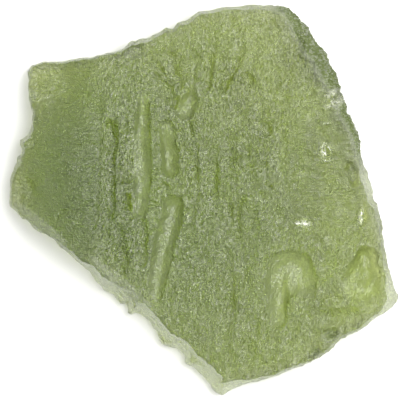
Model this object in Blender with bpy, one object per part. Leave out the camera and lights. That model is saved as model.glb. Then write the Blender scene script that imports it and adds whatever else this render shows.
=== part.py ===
"""Moldavite: a flat, sculpted shard of natural green glass, about 31 mm across and 5 mm thick.

The shard lies on its underside, with its sculpted face up. X runs to the right of that face, Y up it, and Z
out of it. The origin is under the middle of the shard, on the plane that it rests on.

All sizes here are millimetres until to_metres scales the finished mesh.
"""

import math

import bmesh
import bpy
import numpy as np
from mathutils import Matrix, Vector, noise

METRES_PER_MM = 0.001

# Driving sizes
THICKNESS = 3.95  # from the resting plane to the middle of the sculpted face
FALL_TO_RIGHT = 0.036  # how much thinner the shard gets for each millimetre to the right
FALL_UPWARD = 0.022  # and for each millimetre towards its upper edge
DOME = (-4.0, 0.0010)  # line along which the sculpted face is highest, and how fast it curves away from it
FLAT_SPOT = (5.2, 4.2)  # half width and half depth of the spot that it rests on
FLAT_SPOT_CENTRE = (0.3, 0.0)
FLAT_WITHIN = 0.02  # anything this close to the resting plane lies on it
UNDERSIDE_RISE = 0.25  # how far the underside has risen at the rim
UNDER_BEVEL = 0.25  # how far the rim of the underside lies inside the silhouette
RIM_STEP = 0.35  # spacing of the points along the broken rim

VOXEL = 0.25  # grid of the blank that the relief is carved into
TRIANGLES_KEPT = 0.155  # share of the carved triangles that the finished solid keeps

# The silhouette, clockwise from the upper right corner: x, y, how far inside it the rim of the sculpted face
# lies, the height of the widest line as a share of the thickness, and how far small chips move the edge.
# A low widest line leaves a thin, pale wedge.
OUTLINE = (
    # upper right edge, a steep dark facet
    (6.93, 15.59, 0.45, 0.60, 0.06),
    (8.30, 14.23, 1.00, 0.70, 0.06),
    (9.34, 12.62, 1.15, 0.70, 0.06),
    (9.90, 12.06, 1.15, 0.70, 0.06),
    (10.86, 9.98, 1.00, 0.70, 0.06),
    (11.34, 8.62, 0.75, 0.65, 0.06),
    (11.83, 7.10, 0.65, 0.65, 0.06),
    (12.39, 6.21, 0.60, 0.65, 0.06),
    (12.79, 4.77, 0.45, 0.60, 0.06),
    (12.87, 3.33, 0.30, 0.50, 0.06),
    # right edge
    (13.35, 2.45, 0.75, 0.25, 0.08),
    (13.83, 0.92, 0.75, 0.25, 0.08),
    (13.91, 0.12, 0.60, 0.25, 0.08),
    (14.15, -0.44, 0.30, 0.45, 0.08),
    (14.47, -2.04, 0.22, 0.50, 0.05),
    (14.71, -3.73, 0.22, 0.50, 0.05),
    (14.95, -5.01, 0.30, 0.45, 0.05),
    (15.59, -7.01, 0.80, 0.20, 0.08),
    # right corner
    (15.91, -7.49, 1.00, 0.15, 0.08),
    (15.83, -7.97, 1.00, 0.15, 0.08),
    (15.19, -8.61, 0.60, 0.15, 0.08),
    (14.63, -9.10, 0.40, 0.20, 0.08),
    # lower right edge, nearly straight
    (14.15, -9.26, 0.30, 0.25, 0.06),
    (12.70, -10.38, 0.22, 0.35, 0.06),
    (11.42, -10.94, 0.22, 0.35, 0.06),
    (10.46, -11.74, 0.22, 0.35, 0.06),
    (8.86, -12.86, 0.22, 0.35, 0.06),
    (7.25, -13.51, 0.30, 0.25, 0.06),
    (5.57, -14.15, 0.30, 0.25, 0.06),
    (4.21, -14.47, 0.30, 0.20, 0.06),
    (3.01, -14.79, 0.60, 0.15, 0.06),
    # bottom corner
    (1.72, -15.59, 1.30, 0.15, 0.08),
    (1.24, -15.27, 1.30, 0.15, 0.12),
    (0.84, -14.71, 1.20, 0.15, 0.12),
    # lower left edge, the flaky break
    (-0.44, -13.43, 1.10, 0.15, 0.14),
    (-1.24, -12.95, 1.25, 0.15, 0.14),
    (-1.40, -12.23, 0.90, 0.15, 0.14),
    (-1.96, -11.75, 1.00, 0.15, 0.14),
    (-3.01, -11.51, 1.45, 0.15, 0.14),
    (-3.41, -11.11, 1.30, 0.15, 0.14),
    (-3.49, -10.39, 0.90, 0.15, 0.14),
    (-4.13, -9.67, 0.85, 0.15, 0.14),
    (-4.77, -9.03, 0.85, 0.15, 0.14),
    (-5.74, -8.95, 1.35, 0.15, 0.14),
    (-5.90, -8.30, 1.25, 0.15, 0.14),
    (-6.46, -8.06, 1.30, 0.15, 0.14),
    (-7.10, -7.42, 0.90, 0.15, 0.14),
    (-7.90, -6.94, 0.80, 0.20, 0.14),
    (-8.46, -6.38, 0.75, 0.20, 0.14),
    (-8.62, -5.90, 0.60, 0.25, 0.14),
    (-9.59, -5.09, 0.45, 0.30, 0.10),
    (-10.71, -4.05, 0.30, 0.40, 0.10),
    (-11.59, -3.17, 0.20, 0.50, 0.10),
    (-12.87, -2.45, 0.15, 0.50, 0.10),
    (-13.67, -1.72, 0.15, 0.50, 0.10),
    (-14.55, -1.08, 0.18, 0.50, 0.10),
    # left corner and left edge
    (-15.27, -0.28, 0.25, 0.50, 0.08),
    (-15.27, 1.16, 0.25, 0.50, 0.12),
    (-15.11, 2.36, 0.25, 0.50, 0.14),
    (-14.71, 2.85, 0.30, 0.50, 0.14),
    (-14.63, 3.57, 0.30, 0.50, 0.14),
    (-14.23, 3.89, 0.25, 0.50, 0.14),
    (-14.47, 4.69, 0.35, 0.45, 0.14),
    (-13.83, 5.25, 0.35, 0.45, 0.14),
    (-13.51, 6.13, 0.25, 0.50, 0.12),
    (-13.43, 7.25, 0.20, 0.50, 0.12),
    (-13.75, 8.22, 0.20, 0.50, 0.12),
    (-13.74, 9.58, 0.20, 0.50, 0.10),
    (-13.90, 10.38, 0.25, 0.50, 0.08),
    # upper left corner and upper edge
    (-13.50, 10.94, 0.25, 0.45, 0.05),
    (-12.46, 11.22, 0.15, 0.50, 0.04),
    (-10.70, 11.22, 0.15, 0.50, 0.04),
    (-8.78, 11.50, 0.15, 0.50, 0.06),
    (-6.13, 12.15, 0.15, 0.50, 0.10),
    (-5.65, 12.71, 0.25, 0.40, 0.16),
    (-4.13, 13.03, 0.35, 0.35, 0.18),
    (-3.09, 13.75, 0.35, 0.35, 0.18),
    (-2.12, 13.91, 0.35, 0.35, 0.18),
    (-1.80, 14.31, 0.35, 0.35, 0.18),
    (-0.76, 14.71, 0.35, 0.35, 0.14),
    (-0.28, 15.15, 0.35, 0.35, 0.08),
    (2.12, 15.59, 0.30, 0.35, 0.06),
    (4.53, 15.63, 0.30, 0.35, 0.06),
)

# Grooves of the sculpted face. Each is a path of (x, y, half width, depth), and where two meet the deeper one
# wins, which leaves the sharp crests between them.
GROOVES = {
    "left finger": (
        (-7.20, 5.76, 0.76, 0.50),
        (-7.28, 4.00, 0.74, 0.58),
        (-7.36, 1.60, 0.74, 0.58),
        (-7.44, -0.80, 0.80, 0.47),
        (-7.68, -2.80, 0.80, 0.35),
        (-8.08, -4.96, 0.64, 0.06),
    ),
    "square pit": (
        (-5.20, 6.24, 0.72, 0.22),
        (-5.60, 4.96, 0.96, 0.50),
        (-5.68, 3.36, 1.00, 0.62),
        (-5.68, 2.32, 1.00, 0.62),
    ),
    "square pit, foot": ((-6.24, 2.56, 0.44, 0.60), (-6.24, 1.76, 0.44, 0.60)),
    "smooth finger": (
        (-4.48, 8.32, 0.52, 0.26),
        (-4.56, 6.80, 0.64, 0.50),
        (-4.60, 4.00, 0.66, 0.62),
        (-4.64, 0.80, 0.68, 0.58),
        (-4.80, -0.80, 0.64, 0.47),
    ),
    "basin": ((-5.36, 0.32, 0.88, 0.46), (-5.60, -0.48, 0.96, 0.50), (-6.00, -1.12, 0.72, 0.38)),
    "fan": (
        (-6.64, -1.76, 0.48, 0.21),
        (-6.72, -3.36, 0.80, 0.35),
        (-6.48, -4.96, 0.88, 0.35),
        (-6.00, -6.72, 0.64, 0.14),
    ),
    "fan, right": ((-4.64, -1.76, 0.48, 0.22), (-4.88, -3.04, 0.76, 0.35), (-4.72, -4.64, 0.64, 0.22)),
    "short finger": ((-2.64, 5.92, 0.60, 0.29), (-2.56, 4.16, 0.68, 0.56), (-2.44, 2.64, 0.70, 0.64)),
    "bean": ((-0.88, 8.08, 0.60, 0.46), (-1.12, 7.52, 0.72, 0.56), (-1.44, 7.12, 0.64, 0.50)),
    "long finger": (
        (-2.24, -0.40, 0.92, 0.65),
        (-2.32, -1.28, 0.92, 0.68),
        (-2.64, -2.56, 0.88, 0.62),
        (-2.96, -3.84, 0.84, 0.56),
        (-3.20, -4.96, 0.84, 0.50),
        (-3.44, -6.56, 0.76, 0.35),
        (-3.68, -8.00, 0.56, 0.08),
    ),
    "horseshoe": ((7.04, -5.44, 1.60, 0.65), (7.12, -5.92, 1.60, 0.62)),
    "horseshoe, left": (
        (6.40, -5.28, 1.00, 0.60),
        (6.24, -6.80, 1.04, 0.71),
        (6.08, -8.24, 0.84, 0.62),
        (6.08, -9.36, 0.72, 0.29),
    ),
    "horseshoe, right": ((8.00, -5.28, 1.04, 0.64), (8.32, -6.40, 1.04, 0.47), (8.48, -7.76, 0.72, 0.08)),
    "corner bowl": (
        (13.20, -4.48, 0.96, 0.65),
        (12.88, -5.60, 1.36, 0.58),
        (12.80, -6.72, 1.60, 0.35),
        (12.64, -7.84, 1.28, 0.05),
    ),
    "upper slant": (
        (3.28, 12.00, 0.36, 0.12),
        (2.72, 11.04, 0.48, 0.28),
        (2.16, 10.16, 0.56, 0.36),
        (1.68, 9.28, 0.56, 0.36),
    ),
    "upper slant, left": (
        (1.12, 12.80, 0.32, 0.10),
        (0.80, 11.60, 0.40, 0.24),
        (0.56, 10.40, 0.40, 0.28),
        (0.48, 9.28, 0.40, 0.26),
    ),
    "disc": ((3.56, 9.84, 0.60, 0.24), (3.76, 9.60, 0.60, 0.26)),
    "rim notch": ((-5.84, 11.52, 0.32, 0.30), (-5.36, 11.84, 0.48, 0.50), (-4.88, 11.92, 0.48, 0.50)),
    "lobe": ((7.60, 13.28, 0.52, 0.21), (7.76, 12.48, 0.72, 0.42), (7.60, 12.00, 0.68, 0.42)),
    "right dimple": ((4.64, 6.00, 0.56, 0.21), (5.20, 5.68, 0.64, 0.29)),
    "dark notch": ((11.92, 2.80, 0.40, 0.60), (12.24, 2.16, 0.48, 0.71), (12.24, 1.60, 0.44, 0.60)),
    "middle flute": ((-0.64, 4.32, 0.52, 0.08), (-0.56, 2.40, 0.60, 0.28), (-0.48, 0.24, 0.56, 0.14)),
    "second flute": ((0.88, 4.00, 0.44, 0.06), (0.96, 2.00, 0.52, 0.24), (1.04, -0.16, 0.48, 0.10)),
    "third flute": ((2.08, 0.32, 0.44, 0.05), (2.16, -0.96, 0.52, 0.21), (2.24, -2.24, 0.48, 0.08)),
    "lower flute": ((2.40, -6.00, 0.48, 0.05), (2.24, -8.40, 0.60, 0.21), (1.92, -11.60, 0.52, 0.08)),
    "lower flute, right": ((4.40, -9.60, 0.48, 0.06), (3.92, -11.84, 0.60, 0.22), (3.60, -13.44, 0.48, 0.08)),
    "upper flute": ((6.64, 8.56, 0.56, 0.05), (6.32, 4.16, 0.64, 0.14), (6.64, 0.64, 0.56, 0.05)),
    "upper valley": ((-2.24, 11.36, 0.56, 0.21), (-1.92, 9.76, 0.56, 0.24)),
    "rim step": ((8.72, -9.20, 0.80, 0.22), (10.32, -9.28, 0.88, 0.28), (12.16, -9.20, 0.72, 0.21)),
    "rim pit": ((10.24, -10.64, 0.40, 0.45), (10.64, -10.48, 0.40, 0.55)),
    "left pit": ((-13.60, 1.60, 0.28, 0.24), (-13.36, 1.04, 0.32, 0.29)),
    "upper left hollow": ((-8.64, 8.56, 0.64, 0.05), (-8.32, 7.20, 0.80, 0.23), (-8.56, 6.08, 0.56, 0.06)),
    "bright chip": ((10.48, 8.08, 0.56, 0.34), (11.04, 8.64, 0.48, 0.44)),
    "chip on the face": ((9.84, 4.00, 0.36, 0.20), (10.00, 3.68, 0.36, 0.20)),
    "flat chip": ((7.92, -1.68, 0.32, 0.12), (8.56, -1.68, 0.32, 0.12)),
    "edge chip": ((12.88, -0.80, 0.36, 0.30), (12.88, -1.68, 0.36, 0.30)),
}
# How far to the right of its middle a groove is deepest, as a share of its half width
LEANS = {
    "left finger": 0.15,
    "square pit": 0.55,
    "smooth finger": -0.45,
    "fan": -0.40,
    "fan, right": 0.45,
    "short finger": -0.40,
    "horseshoe": 0.15,
    "horseshoe, left": 0.35,
    "horseshoe, right": -0.20,
    "corner bowl": 0.10,
    "upper slant": 0.45,
    "upper slant, left": 0.40,
    "middle flute": 0.50,
    "second flute": 0.40,
    "third flute": 0.40,
    "lobe": 0.40,
    "right dimple": 0.20,
    "bean": -0.10,
    "long finger": 0.15,
}

# Grooves of the underside, laid out as on the sculpted face and clear of the flat spot
UNDERSIDE_GROOVES = {
    "left trough": ((-9.5, 7.5, 1.1, 0.10), (-9.8, 3.0, 1.3, 0.45), (-9.2, -1.5, 1.0, 0.25)),
    "left trough, inner": ((-7.4, 6.0, 0.7, 0.10), (-7.2, 2.0, 0.8, 0.35), (-7.0, -0.5, 0.6, 0.10)),
    "upper trough": ((-2.0, 11.5, 0.8, 0.20), (-2.6, 7.6, 1.0, 0.40)),
    "upper trough, inner": ((-0.2, 10.2, 0.6, 0.15), (-0.6, 6.4, 0.7, 0.30)),
    "upper bowl": ((3.2, 11.0, 1.2, 0.35), (3.6, 8.6, 1.3, 0.42)),
    "upper bowl, tail": ((3.9, 8.2, 0.9, 0.35), (4.6, 5.4, 0.6, 0.08)),
    "right trough": ((9.6, 5.5, 1.0, 0.30), (10.2, 0.5, 1.2, 0.45), (9.8, -4.0, 0.9, 0.15)),
    "right trough, inner": ((7.6, 3.8, 0.7, 0.12), (8.0, -1.2, 0.8, 0.35), (7.8, -3.4, 0.6, 0.08)),
    "lower bowl": ((3.0, -9.2, 1.3, 0.40), (3.6, -11.4, 1.0, 0.20)),
    "lower trough": ((-0.4, -7.4, 0.7, 0.10), (0.6, -11.0, 0.8, 0.32)),
    "corner trough": ((9.0, -8.0, 0.9, 0.35), (11.8, -7.6, 1.0, 0.30)),
}
# A groove is an open bowl inside a sheer wall: the share of its depth that the wall takes, and how sharply
# each of the two turns in from the groove's edge, where a smaller power is steeper
SHEER_SHARE = 0.28
SHEER_POWER = 0.30
BOWL_POWER = 1.00
WANDERING = ((1.6, 0.16), (0.55, 0.08))  # size and reach of the unevenness of the grooves' edges

# Scallops that the etching left between the grooves, from the broadest: cell width, cell length and depth
FLUTES = (0.60, 3.0, 0.12)
PATCHES = (1.6, 2.1, 0.16)
HOLLOWS = (0.80, 1.05, 0.14)
FLAKES = (1.5, 0.22)  # size and depth of the flake scars on the broken edges
SWELLS = (5.5, 0.22)  # size and height of the broad swells that both faces share

# Where the shard is thicker or thinner than the even wedge: x, y, half width, half length, rise
THICK_PLACES = (
    (-9.5, 1.5, 4.5, 8.0, 1.50),
    (-14.6, 0.8, 2.2, 3.0, -1.90),
    (-13.4, 9.6, 3.4, 3.6, -1.70),
    (7.0, 13.0, 4.0, 4.0, -0.50),
)

GLASS_COLOUR = (0.205, 0.270, 0.085, 1.0)  # bottle green, linear
GLASS_ROUGHNESS = 0.25
GLASS_IOR = 1.49


def clear_scene():
    for obj in list(bpy.data.objects):
        bpy.data.objects.remove(obj, do_unlink=True)


def smooth_step(low, high, value):
    share = np.clip((value - low) / (high - low), 0.0, 1.0)
    return share * share * (3.0 - 2.0 * share)


def rim_points():
    """The outline cut into short steps, with each step's inward direction."""
    corners = np.array(OUTLINE)
    steps = []
    for here, there in zip(corners, np.roll(corners, -1, axis=0)):
        count = max(1, round(math.hypot(*(there - here)[:2]) / RIM_STEP))
        steps += [here + (there - here) * i / count for i in range(count)]
    steps = np.array(steps)
    tangent = np.roll(steps, -2, axis=0)[:, :2] - np.roll(steps, 2, axis=0)[:, :2]
    tangent /= np.linalg.norm(tangent, axis=1)[:, None]
    inward = np.column_stack([tangent[:, 1], -tangent[:, 0]])
    chips = [
        0.6 * noise.noise(Vector((1.5 * x, 1.5 * y, 3.0))) + noise.noise(Vector((3.4 * x, 3.4 * y, 8.0)))
        for x, y in steps[:, :2]
    ]
    steps[:, :2] += inward * (steps[:, 4] * np.array(chips))[:, None]
    return steps, inward


def make_blank():
    """A slab with the shard's outline and sloping sides, from z = 0 to the thickness."""
    steps, inward = rim_points()
    bevel, widest = steps[:, 2], steps[:, 3]
    # Low, wide edges flare out into a thin ledge
    flare = 0.5 + 0.28 * (1.0 - smooth_step(0.15, 0.30, widest))
    rings = (
        (UNDER_BEVEL * np.ones(len(steps)), np.zeros(len(steps))),
        (np.zeros(len(steps)), widest * THICKNESS),
        (flare * bevel, (1.0 + widest) / 2.0 * THICKNESS),
        (bevel, np.full(len(steps), THICKNESS)),
    )
    bm = bmesh.new()
    loops = [
        [bm.verts.new((x, y, z)) for (x, y), z in zip(steps[:, :2] + inward * drawn_in[:, None], heights)]
        for drawn_in, heights in rings
    ]
    for lower, upper in zip(loops, loops[1:]):
        for i, corner in enumerate(lower):
            j = (i + 1) % len(lower)
            bm.faces.new((corner, upper[i], upper[j], lower[j]))
    bm.faces.new(loops[0])
    bm.faces.new(list(reversed(loops[-1])))
    bmesh.ops.recalc_face_normals(bm, faces=bm.faces)
    mesh = bpy.data.meshes.new("moldavite")
    bm.to_mesh(mesh)
    bm.free()
    obj = bpy.data.objects.new("moldavite", mesh)
    bpy.context.scene.collection.objects.link(obj)
    return obj


def apply_modifiers(obj):
    graph = bpy.context.evaluated_depsgraph_get()
    mesh = bpy.data.meshes.new_from_object(obj.evaluated_get(graph))
    obj.modifiers.clear()
    obj.data = mesh


def remesh_blank(obj):
    remesh = obj.modifiers.new("even grid", "REMESH")
    remesh.mode = "VOXEL"
    remesh.voxel_size = VOXEL
    apply_modifiers(obj)


def wander(x, y, size, reach, seed):
    """The same places moved a little to and fro, so that nothing drawn on them stays straight."""
    found = [noise.noise_vector(Vector((a / size, b / size, seed))) for a, b in zip(x, y)]
    found = reach * np.array(found)
    return x + found[:, 0], y + found[:, 1]


def groove_depth(x, y, grooves):
    """How deep the grooves are at each place."""
    for size, reach in WANDERING:
        x, y = wander(x, y, size, reach, 5.0)
    deepest = np.zeros(len(x))
    for name, path in grooves.items():
        lean = LEANS.get(name, 0.0)
        for (x0, y0, w0, d0), (x1, y1, w1, d1) in zip(path, path[1:]):
            along_x, along_y = x1 - x0, y1 - y0
            length_squared = along_x**2 + along_y**2
            share = np.clip(((x - x0) * along_x + (y - y0) * along_y) / length_squared, 0, 1)
            off_x, off_y = x - x0 - share * along_x, y - y0 - share * along_y
            off = np.maximum(np.hypot(off_x, off_y), 1e-6)
            middle = lean * off_x / off
            off = off / (w0 + (w1 - w0) * share)
            off = np.where(off > middle, (off - middle) / (1.0 - middle), (middle - off) / (1.0 + middle))
            bowl = np.clip(1.0 - off**2, 0.0, 1.0)
            profile = SHEER_SHARE * bowl**SHEER_POWER + (1.0 - SHEER_SHARE) * bowl**BOWL_POWER
            deepest = np.maximum(deepest, profile * (d0 + (d1 - d0) * share))
    return deepest


def scallops(x, y, width, length, seed):
    """0 at the middle of each etched cell and up to about 1 on the crests between cells."""
    found = [
        noise.voronoi(Vector((a, b, seed)), distance_metric="DISTANCE_SQUARED")[0][0]
        for a, b in zip(x / width, y / length)
    ]
    return np.minimum(np.array(found), 1.0)


def swells(x, y, seed):
    """Broad, shallow waves of the surface."""
    size, height = SWELLS
    found = [noise.noise(Vector((a / size, b / size, seed))) for a, b in zip(x, y)]
    return height * np.array(found)


def sculpted_face(x, y):
    """Height of the upper face."""
    height = THICKNESS - FALL_TO_RIGHT * x - FALL_UPWARD * y + swells(x, y, 2.0)
    height -= DOME[1] * (x - DOME[0]) ** 2
    for middle_x, middle_y, across, along, rise in THICK_PLACES:
        height += rise * np.exp(-(((x - middle_x) / across) ** 2) - ((y - middle_y) / along) ** 2)
    streaked = smooth_step(-1.6, -0.4, x) * (1.0 - smooth_step(2.4, 4.4, x))
    streaked = np.maximum(streaked, 1.0 - smooth_step(-11.5, -9.0, y))
    plain_left = 1.0 - smooth_step(-9.0, -7.6, x)
    width, length, depth = FLUTES
    height += depth * (0.15 + 0.85 * streaked) * (scallops(x, y, width, length, 4.0) - 0.5)
    width, length, depth = PATCHES
    height += depth * (1.0 - 0.6 * plain_left) * (scallops(x, y, width, length, 6.0) - 0.5)
    width, length, depth = HOLLOWS
    height += depth * (1.0 - 0.6 * plain_left) * (scallops(x, y, width, length, 9.0) - 0.5)
    return height - groove_depth(x, y, GROOVES)


def underside(x, y):
    """Height of the lower face, which is 0 on the flat spot."""
    off = np.hypot((x - FLAT_SPOT_CENTRE[0]) / FLAT_SPOT[0], (y - FLAT_SPOT_CENTRE[1]) / FLAT_SPOT[1])
    off *= 1.0 + swells(x, y, 11.0)
    away = smooth_step(1.0, 3.2, off)
    height = UNDERSIDE_RISE * away + np.abs(swells(x, y, 7.0)) * away
    width, length, depth = FLUTES
    clear = smooth_step(1.0, 1.35, off)
    height += 1.6 * depth * clear * (1.0 - scallops(x, y, 1.3 * width, length, 21.0))
    return height + clear * groove_depth(x, y, UNDERSIDE_GROOVES)


def flake_scars(places, normals):
    """How far each point of the broken edges is worn in, as shell-like scars and a finer roughness."""
    size, depth = FLAKES
    found = []
    for place in places:
        point = Vector(place)
        scar = noise.voronoi(point / size, distance_metric="DISTANCE_SQUARED")[0][0]
        grain = noise.voronoi(point / (0.4 * size), distance_metric="DISTANCE_SQUARED")[0][0]
        found.append(depth * (min(scar, 1.0) - 0.3) + 0.35 * depth * (min(grain, 1.0) - 0.3))
    steep = 1.0 - smooth_step(0.55, 0.85, np.abs(normals[:, 2]))
    return np.array(found) * steep


def carve(obj):
    mesh = obj.data
    count = len(mesh.vertices)
    places, normals = np.empty(count * 3), np.empty(count * 3)
    mesh.vertices.foreach_get("co", places)
    mesh.vertices.foreach_get("normal", normals)
    places, normals = places.reshape(-1, 3), normals.reshape(-1, 3)
    places += normals * flake_scars(places, normals)[:, None]
    share = np.clip(places[:, 2] / THICKNESS, 0.0, 1.0)
    x, y = places[:, 0], places[:, 1]
    low, high = underside(x, y), sculpted_face(x, y)
    places[:, 2] = low + (high - low) * share
    mesh.vertices.foreach_set("co", places.ravel())
    mesh.update()


def thin_out(obj):
    """Drops the points that the form doesn't need, most of them on the smooth stretches."""
    decimate = obj.modifiers.new("fewer faces", "DECIMATE")
    decimate.ratio = TRIANGLES_KEPT
    apply_modifiers(obj)


def settle(obj):
    """Puts the flat spot exactly on the resting plane and the origin under the middle of the shard."""
    places = np.empty(len(obj.data.vertices) * 3)
    obj.data.vertices.foreach_get("co", places)
    places = places.reshape(-1, 3)
    places[:, :2] -= (places[:, :2].min(axis=0) + places[:, :2].max(axis=0)) / 2.0
    places[places[:, 2] < FLAT_WITHIN, 2] = 0.0
    obj.data.vertices.foreach_set("co", places.ravel())
    obj.data.update()


def to_metres(obj):
    obj.data.transform(Matrix.Scale(METRES_PER_MM, 4))
    obj.data.update()


def glass():
    material = bpy.data.materials.new("moldavite glass")
    material.use_nodes = True
    shader = material.node_tree.nodes["Principled BSDF"]
    shader.inputs["Base Color"].default_value = GLASS_COLOUR
    shader.inputs["Roughness"].default_value = GLASS_ROUGHNESS
    shader.inputs["Metallic"].default_value = 0.0
    shader.inputs["IOR"].default_value = GLASS_IOR
    return material


def main():
    clear_scene()
    shard = make_blank()
    remesh_blank(shard)
    carve(shard)
    thin_out(shard)
    settle(shard)
    to_metres(shard)
    shard.data.materials.append(glass())
    shard.data.shade_flat()


main()
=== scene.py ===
"""Looks of a moldavite shard: its etched surface, the green glass itself, and a plain pale floor under it."""
import math

import bpy
import numpy as np
from bpy.props import FloatProperty, FloatVectorProperty, IntProperty, PointerProperty, StringProperty
from bpy.types import Operator, Panel, PropertyGroup
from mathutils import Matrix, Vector, kdtree, noise


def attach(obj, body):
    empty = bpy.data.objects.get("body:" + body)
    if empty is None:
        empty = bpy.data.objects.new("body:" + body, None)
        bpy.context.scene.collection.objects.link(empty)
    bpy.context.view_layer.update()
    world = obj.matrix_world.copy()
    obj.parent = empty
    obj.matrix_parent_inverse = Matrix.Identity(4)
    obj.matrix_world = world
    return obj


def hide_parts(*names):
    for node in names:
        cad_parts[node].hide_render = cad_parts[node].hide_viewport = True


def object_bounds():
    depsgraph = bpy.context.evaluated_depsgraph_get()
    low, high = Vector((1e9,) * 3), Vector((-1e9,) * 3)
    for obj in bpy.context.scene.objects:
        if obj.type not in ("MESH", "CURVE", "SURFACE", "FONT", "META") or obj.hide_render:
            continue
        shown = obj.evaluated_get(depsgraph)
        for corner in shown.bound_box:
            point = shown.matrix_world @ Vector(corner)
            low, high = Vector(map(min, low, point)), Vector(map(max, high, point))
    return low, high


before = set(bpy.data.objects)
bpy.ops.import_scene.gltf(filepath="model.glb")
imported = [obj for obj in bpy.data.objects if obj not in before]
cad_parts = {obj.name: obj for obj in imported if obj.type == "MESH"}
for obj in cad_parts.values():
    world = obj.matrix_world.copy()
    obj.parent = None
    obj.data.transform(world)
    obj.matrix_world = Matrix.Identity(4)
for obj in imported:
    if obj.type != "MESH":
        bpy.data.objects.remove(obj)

bl_info = {
    "name": "Moldavite shard",
    "version": (1, 0, 0),
    "blender": (4, 5, 0),
    "location": "View3D > Sidebar > Moldavite",
    "description": "Models an etched shard of natural green glass on a pale floor",
    "category": "Add Mesh",
}

CAD_BOX = [list(corner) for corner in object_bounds()]
METRES_PER_MM = 0.001

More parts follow.
